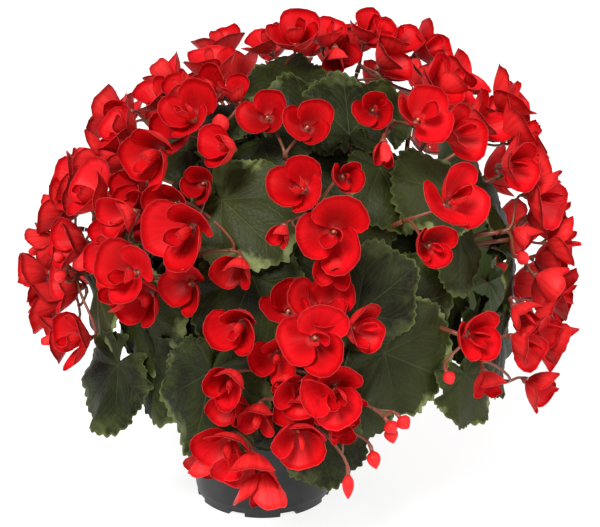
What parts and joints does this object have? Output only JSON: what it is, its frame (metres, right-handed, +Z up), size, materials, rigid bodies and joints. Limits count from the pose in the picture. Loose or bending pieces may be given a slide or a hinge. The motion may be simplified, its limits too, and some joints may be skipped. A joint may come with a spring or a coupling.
{
  "type": "potted begonia",
  "caption": "Potted begonia in full bloom: cupped red double blooms over toothed dark green leaves in a round black nursery pot.",
  "frame": {"origin": "centre of the pot's base, on the surface that the pot stands on", "axes": "+Z up along the pot's axis, -Y towards the viewer of the plant's front, +X to the viewer's right"},
  "size_m": [0.3591, 0.3726, 0.3338],
  "materials": {
    "black_plastic": "satin",
    "peat": "matte",
    "leaf_green": "satin",
    "petal_red": "satin"
  },
  "bodies": {
    "root": {"pot": "black_plastic", "soil": "peat", "leafy_stem_1": "leaf_green", "leafy_stem_2": "leaf_green", "leafy_stem_3": "leaf_green", "leafy_stem_4": "leaf_green", "leafy_stem_5": "leaf_green", "leafy_stem_6": "leaf_green", "leafy_stem_7": "leaf_green", "leafy_stem_8": "leaf_green", "spray_01": "petal_red", "spray_02": "petal_red", "spray_03": "petal_red", "spray_04": "petal_red", "spray_05": "petal_red", "spray_06": "petal_red", "spray_07": "petal_red", "spray_08": "petal_red", "spray_09": "petal_red", "spray_10": "petal_red", "spray_11": "petal_red", "spray_12": "petal_red", "spray_13": "petal_red", "spray_14": "petal_red", "spray_15": "petal_red", "spray_16": "petal_red", "spray_17": "petal_red", "spray_18": "petal_red", "spray_19": "petal_red", "spray_20": "petal_red", "spray_21": "petal_red", "spray_22": "petal_red", "spray_23": "petal_red", "spray_24": "petal_red", "spray_25": "petal_red", "spray_26": "petal_red", "spray_27": "petal_red", "spray_28": "petal_red", "spray_29": "petal_red", "spray_30": "petal_red", "spray_31": "petal_red", "spray_32": "petal_red", "spray_33": "petal_red", "spray_34": "petal_red", "spray_35": "petal_red", "spray_36": "petal_red", "spray_37": "petal_red"}
  },
  "joints": []
}
